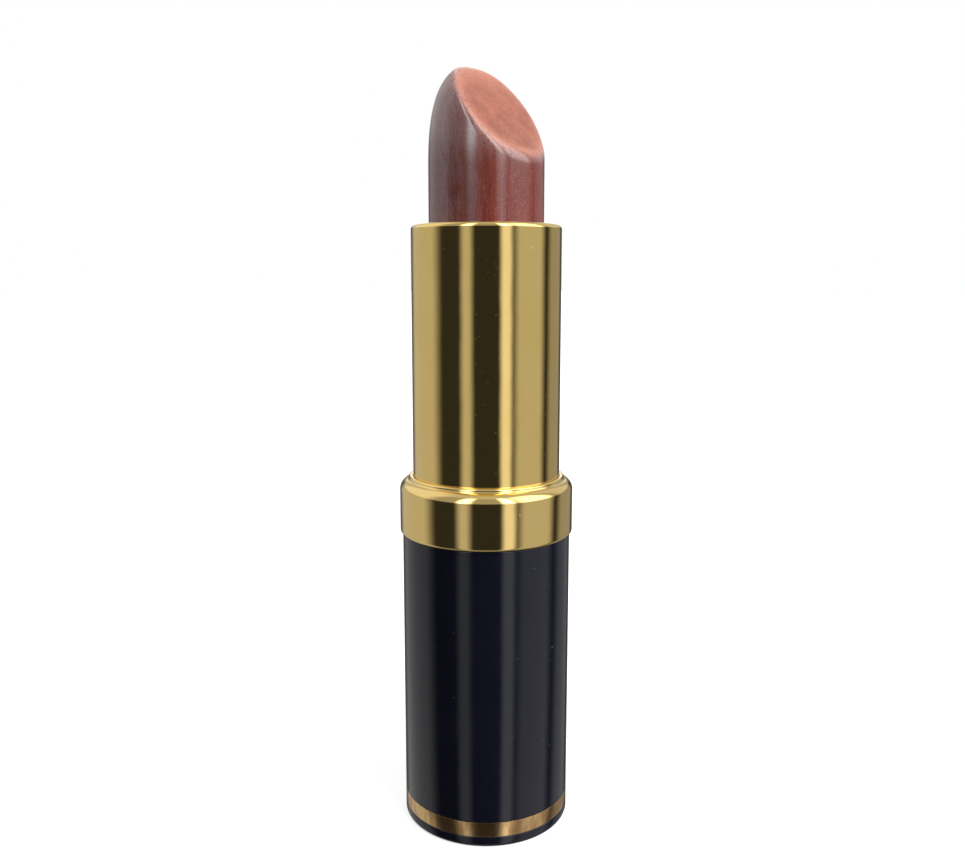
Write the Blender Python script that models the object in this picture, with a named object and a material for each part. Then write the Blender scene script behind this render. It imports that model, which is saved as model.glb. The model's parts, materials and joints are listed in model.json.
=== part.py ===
"""Lipstick case, uncapped and partly raised, built piece by piece as it comes apart on a bench.

Frame: metres, +Z up, Z is the turning axis and z = 0 is the plane that the foot stands on.
The base is the fixed body. The gold sleeve turns about Z with the cam tube pressed inside it, and the
cam's two helical slots push the cup's lugs along the straight slots of the inner body, so the cup and
the bullet rise or sink without turning. The bullet's slanted face looks towards +X and -Y.
"""

import math

import bmesh
import bpy
from mathutils import Matrix, Vector

MM = 0.001
AXIS = Vector((0.0, 0.0, 1.0))

# Resolution: flat sides round a visible piece and round an inner one.
OUTER_SIDES = 48
INNER_SIDES = 40

# Clearances.
RUNNING_GAP = 0.10 * MM
SEAT_GAP = 0.15 * MM

# Outside of the case.
BASE_RADIUS = 9.75 * MM
COLLAR_RADIUS = 10.05 * MM
SLEEVE_RADIUS = 8.50 * MM
BULLET_RADIUS = 6.48 * MM
BAND_BOTTOM_Z = 1.45 * MM
BAND_TOP_Z = 3.00 * MM
COLLAR_BOTTOM_Z = 34.60 * MM
LEDGE_Z = 41.25 * MM
RIM_Z = 69.60 * MM

# Base: foot, band, shell, liner and weight.
SHELL_BORE = 8.60 * MM
FOOT_ROUNDING = 0.45 * MM
FOOT_PLUG_TOP_Z = 4.60 * MM
FOOT_FLOOR_Z = 1.70 * MM
LABEL_RADIUS = 7.20 * MM
LABEL_RECESS_RADIUS = 7.60 * MM
LABEL_RECESS_Z = 0.55 * MM
LABEL_THICKNESS = 0.18 * MM
WEIGHT_BOTTOM_Z = 4.80 * MM
WEIGHT_TOP_Z = 9.60 * MM
LINER_BOTTOM_Z = 10.00 * MM
LINER_TOP_Z = 32.40 * MM
LINER_FLOOR = 1.20 * MM
SPIGOT_RADIUS = 9.25 * MM
SPIGOT_TOP_Z = 38.20 * MM

# Collar: a flat ring round the sleeve, a small step, and a rounded shoulder.
COLLAR_LIP_Z = 39.10 * MM
LEDGE_RING_RADIUS = 9.02 * MM
SHOULDER_ROUNDING = 1.20 * MM
SHOULDER_TOP_Z = 40.85 * MM
COLLAR_EDGE_ROUNDING = 0.70 * MM

# Sleeve, cam tube and inner body, from the outside in.
SLEEVE_WALL = 0.40 * MM
SLEEVE_FOOT_Z = 38.45 * MM
SLEEVE_FLANGE_RADIUS = 9.10 * MM
SLEEVE_FLANGE = 0.40 * MM
RIM_BORE = 7.65 * MM
RIM_ROUNDING = 0.50 * MM
CAM_RADIUS = 8.00 * MM
CAM_BORE = 7.55 * MM
CAM_BOTTOM_Z = 34.10 * MM
CAM_TOP_Z = 68.00 * MM
INNER_RADIUS = 7.45 * MM
INNER_BORE = 7.00 * MM
INNER_BOTTOM_Z = 12.00 * MM
INNER_TOP_Z = 68.75 * MM
INNER_LIP = 0.50 * MM
STOP_RADIUS = 8.45 * MM
STOP_BOTTOM_Z = 32.60 * MM
STOP_TOP_Z = 33.10 * MM
DRAG_RING_SECTION = 0.36 * MM

# Cup and bullet.
CUP_RADIUS = 6.88 * MM
CUP_BORE = 6.56 * MM
CUP_BOTTOM_Z = 52.90 * MM
CUP_HEIGHT = 9.60 * MM
CUP_FLOOR = 0.80 * MM
LUG_RADIUS = 1.00 * MM
LUG_REACH = 7.90 * MM
LUG_Z = 55.50 * MM
BULLET_BOTTOM_Z = 53.90 * MM
NOSE_START_Z = 74.90 * MM
NOSE_HEIGHT = 12.20 * MM
NOSE_POWER = 2.9
FACE_MIDDLE_Z = 84.60 * MM
FACE_SLOPE = math.radians(54.0)
FACE_HEADING = math.radians(-41.5)
FACE_BEVEL = 0.50 * MM

# Twist mechanism: lead of the cam, and how far the cup travels from where it stands.
LEAD = 14.0 * MM
RISE = 6.5 * MM
FALL = 18.7 * MM
SLOT_HALF_WIDTH = 1.20 * MM
STARTS = 2

GOLD = (0.78, 0.58, 0.22)
NAVY = (0.012, 0.017, 0.032)
WHITE_PLASTIC = (0.72, 0.71, 0.68)
LIPSTICK = (0.30, 0.085, 0.075)


def clear_scene():
    """Remove whatever the scene holds."""
    for obj in list(bpy.data.objects):
        bpy.data.objects.remove(obj, do_unlink=True)


def finish(name, colour, roughness, metallic=0.0):
    """A Principled material of one colour."""
    material = bpy.data.materials.new(name)
    material.use_nodes = True
    shader = material.node_tree.nodes["Principled BSDF"]
    shader.inputs["Base Color"].default_value = (*colour, 1.0)
    shader.inputs["Roughness"].default_value = roughness
    shader.inputs["Metallic"].default_value = metallic
    material.diffuse_color = (*colour, 1.0)
    return material


def joint_empty(name):
    """An empty on the turning axis, the parent of one moving body's pieces."""
    empty = bpy.data.objects.new(name, None)
    bpy.context.scene.collection.objects.link(empty)
    return empty


def arc(centre_r, centre_z, radius, start, end, steps):
    """Points (r, z) on a circular arc, angles in degrees from the +r direction."""
    points = []
    for step in range(steps + 1):
        angle = math.radians(start + (end - start) * step / steps)
        points.append((centre_r + radius * math.cos(angle), centre_z + radius * math.sin(angle)))
    return points


def object_from(name, bm, material, parent=None):
    """Turn a finished bmesh into a linked, smooth-shaded object."""
    bmesh.ops.recalc_face_normals(bm, faces=bm.faces)
    mesh = bpy.data.meshes.new(name)
    bm.to_mesh(mesh)
    bm.free()
    mesh.shade_smooth()
    mesh.set_sharp_from_angle(angle=math.radians(35))
    obj = bpy.data.objects.new(name, mesh)
    bpy.context.scene.collection.objects.link(obj)
    if material is not None:
        mesh.materials.append(material)
    obj.parent = parent
    return obj


def spun(outline, sides, closed):
    """A bmesh turned about Z from an outline of (r, z) points. A closed outline is a ring's section, and
    an open one starts and ends on the axis."""
    bm = bmesh.new()
    verts = [bm.verts.new((r, 0.0, z)) for r, z in outline]
    pairs = list(zip(verts, verts[1:]))
    if closed:
        pairs.append((verts[-1], verts[0]))
    edges = [bm.edges.new(pair) for pair in pairs]
    bmesh.ops.spin(
        bm,
        geom=verts + edges,
        cent=(0.0, 0.0, 0.0),
        axis=AXIS,
        angle=math.tau,
        steps=sides,
        use_merge=True,
    )
    bmesh.ops.remove_doubles(bm, verts=bm.verts, dist=1e-6)
    return bm


def turned(name, outline, sides, material, parent=None, closed=True):
    """A turned piece as an object."""
    return object_from(name, spun(outline, sides, closed), material, parent)


def tube_outline(bore, radius, bottom, top):
    """The section of a plain tube, down its outer side first."""
    return [(radius, top), (radius, bottom), (bore, bottom), (bore, top)]


def apply_tool(piece, tool, operation):
    """Boolean modifier with the EXACT solver; the tool is a guide and stays out of the model."""
    modifier = piece.modifiers.new(tool.name, "BOOLEAN")
    modifier.operation = operation
    modifier.solver = "EXACT"
    modifier.object = tool
    tool.hide_render = True
    tool.display_type = "WIRE"


def base_foot(material):
    """Bottom plug: a standing ring round a shallow recess, a rounded edge, and a hollow plug above."""
    flange_top = BAND_BOTTOM_Z - SEAT_GAP
    edge_radius = BASE_RADIUS - FOOT_ROUNDING
    plug_radius = SHELL_BORE - SEAT_GAP
    outline = [(0.0, FOOT_FLOOR_Z), (plug_radius - 1.0 * MM, FOOT_FLOOR_Z)]
    outline += [(plug_radius - 1.0 * MM, FOOT_PLUG_TOP_Z), (plug_radius, FOOT_PLUG_TOP_Z)]
    outline += [(plug_radius, flange_top), (BASE_RADIUS, flange_top)]
    outline += arc(edge_radius, FOOT_ROUNDING, FOOT_ROUNDING, 0, -90, 4)
    outline += [(LABEL_RECESS_RADIUS, 0.0), (LABEL_RECESS_RADIUS, LABEL_RECESS_Z), (0.0, LABEL_RECESS_Z)]
    return turned("base_foot", outline, OUTER_SIDES, material, closed=False)


def shade_label(material):
    """Blank round label inside the foot's recess."""
    top = LABEL_RECESS_Z - SEAT_GAP
    bottom = top - LABEL_THICKNESS
    outline = [(0.0, top), (LABEL_RADIUS, top), (LABEL_RADIUS, bottom), (0.0, bottom)]
    return turned("shade_label", outline, INNER_SIDES, material, closed=False)


def base_band(material):
    """Narrow gold ring between the foot and the shell."""
    edge = 0.08 * MM
    outline = [(BASE_RADIUS - edge, BAND_TOP_Z), (BASE_RADIUS, BAND_TOP_Z - edge)]
    outline += [(BASE_RADIUS, BAND_BOTTOM_Z + edge), (BASE_RADIUS - edge, BAND_BOTTOM_Z)]
    outline += [(SHELL_BORE, BAND_BOTTOM_Z), (SHELL_BORE, BAND_TOP_Z)]
    return turned("base_band", outline, OUTER_SIDES, material)


def base_shell(material):
    """Glossy outer tube of the base, with a thinner spigot that the collar slides over."""
    bottom = BAND_TOP_Z + SEAT_GAP
    step = COLLAR_BOTTOM_Z - SEAT_GAP
    edge = 0.12 * MM
    outline = [(SPIGOT_RADIUS, SPIGOT_TOP_Z), (SPIGOT_RADIUS, step), (BASE_RADIUS - edge, step)]
    outline += [(BASE_RADIUS, step - edge), (BASE_RADIUS, bottom + edge), (BASE_RADIUS - edge, bottom)]
    outline += [(SHELL_BORE, bottom), (SHELL_BORE, SPIGOT_TOP_Z)]
    return turned("base_shell", outline, OUTER_SIDES, material)


def base_weight(material):
    """Steel slug that makes the base heavy enough to stand steadily."""
    radius = SHELL_BORE - 0.3 * MM
    edge = 0.3 * MM
    outline = [(0.0, WEIGHT_TOP_Z), (radius - edge, WEIGHT_TOP_Z), (radius, WEIGHT_TOP_Z - edge)]
    outline += [(radius, WEIGHT_BOTTOM_Z + edge), (radius - edge, WEIGHT_BOTTOM_Z), (0.0, WEIGHT_BOTTOM_Z)]
    return turned("base_weight", outline, INNER_SIDES, material, closed=False)


def base_liner(material):
    """Plastic cup pressed into the shell; its bore grips the inner body's lower end."""
    radius = SHELL_BORE - RUNNING_GAP
    bore = INNER_RADIUS + RUNNING_GAP
    floor = LINER_BOTTOM_Z + LINER_FLOOR
    outline = [(0.0, floor), (bore, floor), (bore, LINER_TOP_Z), (radius, LINER_TOP_Z)]
    outline += [(radius, LINER_BOTTOM_Z), (0.0, LINER_BOTTOM_Z)]
    return turned("base_liner", outline, INNER_SIDES, material, closed=False)


def collar(material):
    """Gold ring over the spigot: rolled lower edge, straight wall, rounded shoulder and a flat ledge."""
    bore = SPIGOT_RADIUS + RUNNING_GAP
    lip_bore = SLEEVE_RADIUS + RUNNING_GAP
    shoulder_r = COLLAR_RADIUS - SHOULDER_ROUNDING
    shoulder_z = SHOULDER_TOP_Z - SHOULDER_ROUNDING
    lower_r = COLLAR_RADIUS - COLLAR_EDGE_ROUNDING
    lower_z = COLLAR_BOTTOM_Z + COLLAR_EDGE_ROUNDING
    outline = [(lip_bore, LEDGE_Z), (LEDGE_RING_RADIUS, LEDGE_Z)]
    outline += [(LEDGE_RING_RADIUS + 0.08 * MM, LEDGE_Z - 0.10 * MM)]
    outline += arc(shoulder_r, shoulder_z, SHOULDER_ROUNDING, 74, 0, 6)
    outline += arc(lower_r, lower_z, COLLAR_EDGE_ROUNDING, 0, -75, 4)
    outline += [(bore, COLLAR_BOTTOM_Z), (bore, COLLAR_LIP_Z), (lip_bore, COLLAR_LIP_Z)]
    return turned("collar", outline, OUTER_SIDES, material)


def upper_sleeve(material, parent):
    """Gold metal sleeve: a flange that the collar keeps down, a straight wall, and a rim rolled inward."""
    bore = SLEEVE_RADIUS - SLEEVE_WALL
    flange_top = SLEEVE_FOOT_Z + SLEEVE_FLANGE
    outline = [(RIM_BORE, RIM_Z)]
    outline += arc(SLEEVE_RADIUS - RIM_ROUNDING, RIM_Z - RIM_ROUNDING, RIM_ROUNDING, 90, 0, 4)
    outline += [(SLEEVE_RADIUS, flange_top), (SLEEVE_FLANGE_RADIUS, flange_top)]
    outline += [(SLEEVE_FLANGE_RADIUS, SLEEVE_FOOT_Z), (bore, SLEEVE_FOOT_Z)]
    outline += [(bore, RIM_Z - SLEEVE_WALL), (RIM_BORE, RIM_Z - SLEEVE_WALL)]
    return turned("upper_sleeve", outline, OUTER_SIDES, material, parent)


def helix_height(angle):
    """Height of a cam slot's middle at an angle from the lug it drives."""
    return LUG_Z + LEAD * angle / math.tau


def cam_slot_tool(inner, outer):
    """One helical bar for each start: a rectangle carried up the helix, capped at both ends."""
    slope = LEAD / (math.tau * CAM_RADIUS)
    half_height = SLOT_HALF_WIDTH * math.hypot(1.0, slope)
    spare = (LUG_RADIUS + 0.5 * MM) / CAM_BORE
    low = -math.tau * FALL / LEAD - spare
    high = math.tau * RISE / LEAD + spare
    steps = math.ceil((high - low) / math.radians(15))
    bm = bmesh.new()
    for start in range(STARTS):
        turn = math.tau * start / STARTS
        rings = []
        for step in range(steps + 1):
            angle = low + (high - low) * step / steps
            middle = helix_height(angle)
            across = Vector((math.cos(angle + turn), math.sin(angle + turn), 0.0))
            corners = [(inner, -1), (outer, -1), (outer, 1), (inner, 1)]
            rings.append([bm.verts.new(across * r + AXIS * (middle + half_height * s)) for r, s in corners])
        for lower, upper in zip(rings, rings[1:]):
            for side in range(4):
                after = (side + 1) % 4
                bm.faces.new((lower[side], lower[after], upper[after], upper[side]))
        bm.faces.new(rings[0])
        bm.faces.new(rings[-1])
    return object_from("cam_slot_tool", bm, None)


def cam_sleeve(material, parent):
    """Tube pressed inside the gold sleeve, with a helical slot for each lug."""
    outline = tube_outline(CAM_BORE, CAM_RADIUS, CAM_BOTTOM_Z, CAM_TOP_Z)
    piece = turned("cam_sleeve", outline, INNER_SIDES, material, parent)
    apply_tool(piece, cam_slot_tool(CAM_BORE - 0.6 * MM, CAM_RADIUS + 0.6 * MM), "DIFFERENCE")
    return piece


def inner_slot_tool():
    """One bar across the tube that opens both straight slots at once."""
    low = LUG_Z - FALL - LUG_RADIUS - 0.3 * MM
    high = LUG_Z + RISE + LUG_RADIUS + 0.3 * MM
    size = Vector((2.4 * INNER_RADIUS, 2.0 * SLOT_HALF_WIDTH, high - low))
    bm = bmesh.new()
    place = Matrix.Translation(AXIS * (low + high) / 2.0) @ Matrix.Diagonal((*size, 1.0))
    bmesh.ops.create_cube(bm, size=1.0, matrix=place)
    return object_from("inner_slot_tool", bm, None)


def inner_body(material):
    """Tube fixed in the base: a lip over the cam's top end, a stop flange under the drag ring, and two
    straight slots that keep the cup from turning."""
    lip_bottom = INNER_TOP_Z - INNER_LIP
    outline = [(INNER_BORE, INNER_TOP_Z), (CAM_RADIUS, INNER_TOP_Z), (CAM_RADIUS, lip_bottom)]
    outline += [(INNER_RADIUS, lip_bottom), (INNER_RADIUS, STOP_TOP_Z), (STOP_RADIUS, STOP_TOP_Z)]
    outline += [(STOP_RADIUS, STOP_BOTTOM_Z), (INNER_RADIUS, STOP_BOTTOM_Z)]
    outline += [(INNER_RADIUS, INNER_BOTTOM_Z), (INNER_BORE, INNER_BOTTOM_Z)]
    piece = turned("inner_body", outline, INNER_SIDES, material)
    apply_tool(piece, inner_slot_tool(), "DIFFERENCE")
    return piece


def drag_ring(material):
    """Silicone ring round the inner body's neck, between the stop flange and the cam's foot."""
    centre_r = INNER_RADIUS + RUNNING_GAP + DRAG_RING_SECTION
    centre_z = (STOP_TOP_Z + CAM_BOTTOM_Z) / 2.0
    outline = arc(centre_r, centre_z, DRAG_RING_SECTION, 90, -270, 8)[:-1]
    return turned("drag_ring", outline, INNER_SIDES, material)


def lug_tool():
    """Two short round pins that stand out of the cup's wall along X."""
    root = (CUP_RADIUS + CUP_BORE) / 2.0
    bm = bmesh.new()
    for side in (1.0, -1.0):
        middle = Vector((side * (LUG_REACH + root) / 2.0, 0.0, LUG_Z))
        place = Matrix.Translation(middle) @ Matrix.Rotation(math.pi / 2.0, 4, "Y")
        bmesh.ops.create_cone(
            bm,
            cap_ends=True,
            segments=16,
            radius1=LUG_RADIUS,
            radius2=LUG_RADIUS,
            depth=LUG_REACH - root,
            matrix=place,
        )
    return object_from("lug_tool", bm, None)


def carrier_cup(material, parent):
    """Thin cup that grips the bullet's foot, with a drain hole in its floor and a lug on each side."""
    top = CUP_BOTTOM_Z + CUP_HEIGHT
    floor = CUP_BOTTOM_Z + CUP_FLOOR
    hole = 1.5 * MM
    lead_in = 0.15 * MM
    outline = [(CUP_BORE + lead_in, top), (CUP_RADIUS, top), (CUP_RADIUS, CUP_BOTTOM_Z)]
    outline += [(hole, CUP_BOTTOM_Z), (hole, floor), (CUP_BORE, floor), (CUP_BORE, top - lead_in)]
    piece = turned("carrier_cup", outline, INNER_SIDES, material, parent)
    apply_tool(piece, lug_tool(), "UNION")
    return piece


def bullet(material, parent):
    """Wax bullet: a round stick whose nose is half a superellipse, cut by one slanted plane, with the
    cut's edge eased."""
    rows = 9
    outline = [(0.0, NOSE_START_Z + NOSE_HEIGHT)]
    for row in range(1, rows + 1):
        angle = math.pi / 2.0 * (1.0 - row / rows)
        across = math.cos(angle) ** (2.0 / NOSE_POWER)
        up = math.sin(angle) ** (2.0 / NOSE_POWER)
        outline.append((BULLET_RADIUS * across, NOSE_START_Z + NOSE_HEIGHT * up))
    chamfer = 0.5 * MM
    outline += [(BULLET_RADIUS, BULLET_BOTTOM_Z + chamfer)]
    outline += [(BULLET_RADIUS - chamfer, BULLET_BOTTOM_Z), (0.0, BULLET_BOTTOM_Z)]
    bm = spun(outline, OUTER_SIDES, closed=False)
    downhill = Vector((math.cos(FACE_HEADING), math.sin(FACE_HEADING), 0.0))
    bmesh.ops.bisect_plane(
        bm,
        geom=bm.verts[:] + bm.edges[:] + bm.faces[:],
        dist=1e-6,
        plane_co=AXIS * FACE_MIDDLE_Z,
        plane_no=downhill * math.sin(FACE_SLOPE) + AXIS * math.cos(FACE_SLOPE),
        clear_outer=True,
    )
    rim = [edge for edge in bm.edges if edge.is_boundary]
    bmesh.ops.contextual_create(bm, geom=rim)
    bmesh.ops.bevel(
        bm,
        geom=rim,
        offset=FACE_BEVEL,
        offset_type="OFFSET",
        segments=2,
        profile=0.5,
        affect="EDGES",
        clamp_overlap=True,
    )
    return object_from("lipstick_bullet", bm, material, parent)


def main():
    clear_scene()
    gold = finish("gold", GOLD, 0.12, 1.0)
    navy = finish("navy_plastic", NAVY, 0.15)
    plastic = finish("white_plastic", WHITE_PLASTIC, 0.45)
    steel = finish("steel", (0.55, 0.56, 0.58), 0.35, 1.0)
    silicone = finish("silicone", (0.10, 0.10, 0.11), 0.60)
    paper = finish("label_film", (0.80, 0.79, 0.76), 0.50)
    wax = finish("lipstick", LIPSTICK, 0.40)
    twist = joint_empty("sleeve_twist_axis")
    lift = joint_empty("carrier_slide_axis")
    base_foot(navy)
    shade_label(paper)
    base_band(gold)
    base_shell(navy)
    base_weight(steel)
    base_liner(plastic)
    collar(gold)
    inner_body(plastic)
    drag_ring(silicone)
    upper_sleeve(gold, twist)
    cam_sleeve(plastic, twist)
    carrier_cup(plastic, lift)
    bullet(wax, lift)


main()
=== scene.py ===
"""Looks of the lipstick case: every piece as a smooth turned or computed surface, its finish, the light
and the camera. Lengths below are in millimetres and become metres when a mesh is made."""

import json
import math

import bpy
import numpy as np
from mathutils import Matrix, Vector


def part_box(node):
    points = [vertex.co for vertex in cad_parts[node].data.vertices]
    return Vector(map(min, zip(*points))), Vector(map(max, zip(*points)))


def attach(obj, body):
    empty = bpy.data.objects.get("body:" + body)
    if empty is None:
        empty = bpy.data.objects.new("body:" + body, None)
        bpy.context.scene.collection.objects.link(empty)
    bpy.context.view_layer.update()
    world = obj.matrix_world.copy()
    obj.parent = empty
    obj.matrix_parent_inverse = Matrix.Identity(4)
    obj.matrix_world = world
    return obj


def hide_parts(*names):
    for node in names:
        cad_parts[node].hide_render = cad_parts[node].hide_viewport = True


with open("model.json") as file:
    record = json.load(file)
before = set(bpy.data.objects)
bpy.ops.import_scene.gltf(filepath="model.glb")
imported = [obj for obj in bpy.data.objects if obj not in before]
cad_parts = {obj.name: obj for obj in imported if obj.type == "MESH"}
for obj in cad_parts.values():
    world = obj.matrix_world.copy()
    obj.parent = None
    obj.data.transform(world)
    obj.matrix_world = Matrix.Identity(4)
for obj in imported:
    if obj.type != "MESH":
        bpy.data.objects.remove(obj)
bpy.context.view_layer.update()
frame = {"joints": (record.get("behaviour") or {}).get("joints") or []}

MM = 0.001
TAU = math.tau
SIDES = 288


def half_width(node):
    """Radius of a round CAD node, in mm."""
    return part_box(node)[1].x / MM


def bottom(node):
    """Height of a CAD node's lowest point, in mm."""
    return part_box(node)[0].z / MM


def top(node):
    """Height of a CAD node's highest point, in mm."""
    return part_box(node)[1].z / MM


# Driving sizes, read from the frame.
BASE_R = half_width("base_shell")
COLLAR_R = half_width("collar")
FLANGE_R = half_width("upper_sleeve")
CAM_R = half_width("cam_sleeve")
STOP_R = half_width("inner_body")
LABEL_R = half_width("shade_label")
WEIGHT_R = half_width("base_weight")
LINER_R = half_width("base_liner")
BULLET_R = half_width("lipstick_bullet")
LUG_REACH = half_width("carrier_cup")

# Sizes that no box tells.
SLEEVE_WALL = 0.4
SLEEVE_BORE = CAM_R + 0.1
SLEEVE_R = SLEEVE_BORE + SLEEVE_WALL
RIM_BORE = 7.65
SHELL_BORE = 8.6
SPIGOT_R = 9.25
CAM_BORE = 7.55
INNER_R = 7.45
INNER_BORE = 7.0
CUP_R = 6.88
CUP_BORE = 6.56
LUG_R = 1.0
LUG_RISE = 2.6
SLOT_HALF = 1.2
SEAM = 0.03
BAND_DROP = 0.12
COLLAR_DROP = 0.1
TRAVEL = frame["joints"][1]["range_m"]
LEAD = 14.0

# The bullet's nose and slanted face.
NOSE_START = 74.9
NOSE_HEIGHT = 12.2
NOSE_POWER = 2.9
FACE_MIDDLE = 84.72
FACE_SLOPE = math.radians(54.0)
FACE_HEADING = math.radians(-41.5)
FACE_EASE = 0.7
FACE_ROLL = 0.065
FACE_ROLL_START = 3.2
FACE_FEATHER = 0.6
RIDGE_OUT = 0.35
RIDGE_IN = 0.6
# How far the painted sheen reaches down the stick from the face's edge.
PAINTED_EDGE_SHEEN_REACH = 1.4
RIDGE_LOW = 75.6
RIDGE_HIGH = 77.6


# ---------------------------------------------------------------- meshes


def arc(centre_r, centre_z, radius, start, end, steps=10):
    """Points (r, z) on a circle: centre plus radius times (cos, sin) of angles from start to end degrees."""
    angle = np.radians(np.linspace(start, end, steps + 1))
    return np.stack([centre_r + radius * np.cos(angle), centre_z + radius * np.sin(angle)], axis=1)


def line(*points):
    """Outline points given one by one."""
    return np.array(points, float)


def grid_faces(rows, columns, loop_rows):
    """Quads of a grid whose columns run round; its rows close too if loop_rows."""
    first = np.arange(rows if loop_rows else rows - 1)[:, None]
    column = np.arange(columns)[None, :]
    below = (first + 1) % rows
    beside = (column + 1) % columns
    corners = [first * columns + column, below * columns + column]
    corners += [below * columns + beside, first * columns + beside]
    return np.stack(corners, axis=-1).reshape(-1, 4)


def turned(*outline, sides=SIDES, closed=True, ripple=None):
    """Surface of revolution: (r, z) on the outline, which runs down its outer side, goes to
    (r cos a, r sin a, z). A closed outline is a ring's section, and an open one starts and ends on the
    axis. ripple adds a length to r that depends on the angle and the outline's own r and z."""
    outline = np.vstack(outline)
    angle = np.linspace(0.0, TAU, sides, endpoint=False)[None, :]
    radius = np.repeat(outline[:, :1], sides, axis=1)
    height = np.repeat(outline[:, 1:], sides, axis=1)
    if ripple is not None:
        radius = radius + ripple(angle, radius, height)
    points = np.stack([radius * np.cos(angle), radius * np.sin(angle), height], axis=-1).reshape(-1, 3)
    return points, grid_faces(len(outline), sides, closed)


def moved(part, turn, shift):
    """A part turned by a 3 by 3 matrix and shifted."""
    points, faces = part
    return points @ np.array(turn, float).T + np.array(shift, float), faces


def slotted_tube(outer, inner, opened):
    """Tube wall with openings: outer and inner are grids of points, rows up and columns round, and opened
    marks the cells left out. Each edge between a kept cell and an open one, and each end, gets a wall."""
    rows, columns = outer.shape[:2]
    kept = ~opened
    count = rows * columns
    index = np.arange(count).reshape(rows, columns)
    beside = np.roll(index, -1, axis=1)
    cell = np.stack([index[:-1], beside[:-1], beside[1:], index[1:]], axis=-1)[kept]
    faces = [cell, cell[:, ::-1] + count]
    edge_above = np.vstack([kept, np.zeros((1, columns), bool)])
    edge_below = np.vstack([np.zeros((1, columns), bool), kept])
    for start, end, wanted in (
        (index, beside, edge_below & ~edge_above),
        (beside, index, edge_above & ~edge_below),
    ):
        a, b = start[wanted], end[wanted]
        faces.append(np.stack([a, b, b + count, a + count], axis=-1))
    left = np.roll(kept, 1, axis=1)
    low, high = index[:-1], index[1:]
    for start, end, wanted in ((low, high, left & ~kept), (high, low, kept & ~left)):
        a, b = start[wanted], end[wanted]
        faces.append(np.stack([b, a, a + count, b + count], axis=-1))
    points = np.concatenate([outer.reshape(-1, 3), inner.reshape(-1, 3)])
    return points, np.concatenate(faces)


def piece(name, *parts, sharp=38.0):
    """One object from parts given in mm: equal points are merged, and faces that lose a side drop it."""
    points, faces, base = [], [], 0
    for part_points, part_faces in parts:
        points.append(part_points)
        faces.append(part_faces + base)
        base += len(part_points)
    points, faces = np.concatenate(points), np.concatenate(faces)
    _, first, ids = np.unique(np.round(points, 5), axis=0, return_index=True, return_inverse=True)
    faces = ids.reshape(-1)[faces]
    shut = faces == np.roll(faces, -1, axis=1)
    whole = faces[~shut.any(axis=1)]
    bent = [row[~gap].tolist() for row, gap in zip(faces[shut.any(axis=1)], shut[shut.any(axis=1)])]
    mesh = bpy.data.meshes.new(name)
    kept = whole.tolist() + [row for row in bent if len(row) > 2]
    mesh.from_pydata((points[first] * MM).tolist(), [], kept)
    mesh.shade_smooth()
    mesh.set_sharp_from_angle(angle=math.radians(sharp))
    obj = bpy.data.objects.new(name, mesh)
    bpy.context.scene.collection.objects.link(obj)
    return obj


def round_points(radius, angle, height):
    """Points at a radius, angle and height, as arrays of one shape."""
    return np.stack([radius * np.cos(angle), radius * np.sin(angle), height + 0.0 * angle], axis=-1)


# ---------------------------------------------------------------- the base


def make_foot():
    """Bottom plug: rounded outer edge, standing ring, recess for the label, and the hollow plug above."""
    top_z = bottom("base_band") - BAND_DROP - SEAM
    plug_r = SHELL_BORE - 0.15
    plug_top = top("base_foot")
    ease = 0.12
    round_r = 0.5
    recess_r, recess_z = 7.6, 0.55
    return piece(
        "foot",
        turned(
            line((0.0, 1.7), (plug_r - 1.2, 1.7)),
            arc(plug_r - 1.2, 1.9, 0.2, -90, 0, 4),
            line((plug_r - 1.0, plug_top - ease)),
            arc(plug_r - 1.0 + ease, plug_top - ease, ease, 180, 90, 4),
            arc(plug_r - ease, plug_top - ease, ease, 90, 0, 4),
            line((plug_r, top_z)),
            arc(BASE_R - ease, top_z - ease, ease, 90, 0, 5),
            arc(BASE_R - round_r, round_r, round_r, 0, -90, 12),
            arc(recess_r + ease, ease, ease, -90, -180, 5),
            line((recess_r, recess_z), (0.0, recess_z)),
            closed=False,
        ),
    )


def make_label():
    """Thin round sticker with an eased edge."""
    high, low = top("shade_label"), bottom("shade_label")
    ease = (high - low) / 2.0
    return piece(
        "label",
        turned(
            line((0.0, high)),
            arc(LABEL_R - ease, high - ease, ease, 90, -90, 8),
            line((0.0, low)),
            closed=False,
        ),
    )


def make_band():
    """Narrow metal ring with eased edges, flush with the shell."""
    high, low = top("base_band"), bottom("base_band") - BAND_DROP
    ease = 0.012
    return piece(
        "band",
        turned(
            arc(BASE_R - ease, high - ease, ease, 90, 0, 6),
            arc(BASE_R - ease, low + ease, ease, 0, -90, 6),
            line((SHELL_BORE, low), (SHELL_BORE, high)),
        ),
    )


def make_shell():
    """Outer tube with eased ends and the spigot that the collar slides over."""
    low, high = top("base_band") + SEAM, top("base_shell")
    step = bottom("collar") - COLLAR_DROP - SEAM
    ease = 0.07
    return piece(
        "shell",
        turned(
            arc(SPIGOT_R - 0.2, high - 0.2, 0.2, 90, 0, 5),
            line((SPIGOT_R, step)),
            arc(BASE_R - ease, step - ease, ease, 90, 0, 6),
            arc(BASE_R - ease, low + ease, ease, 0, -90, 6),
            line((SHELL_BORE, low), (SHELL_BORE, high)),
        ),
    )


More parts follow.
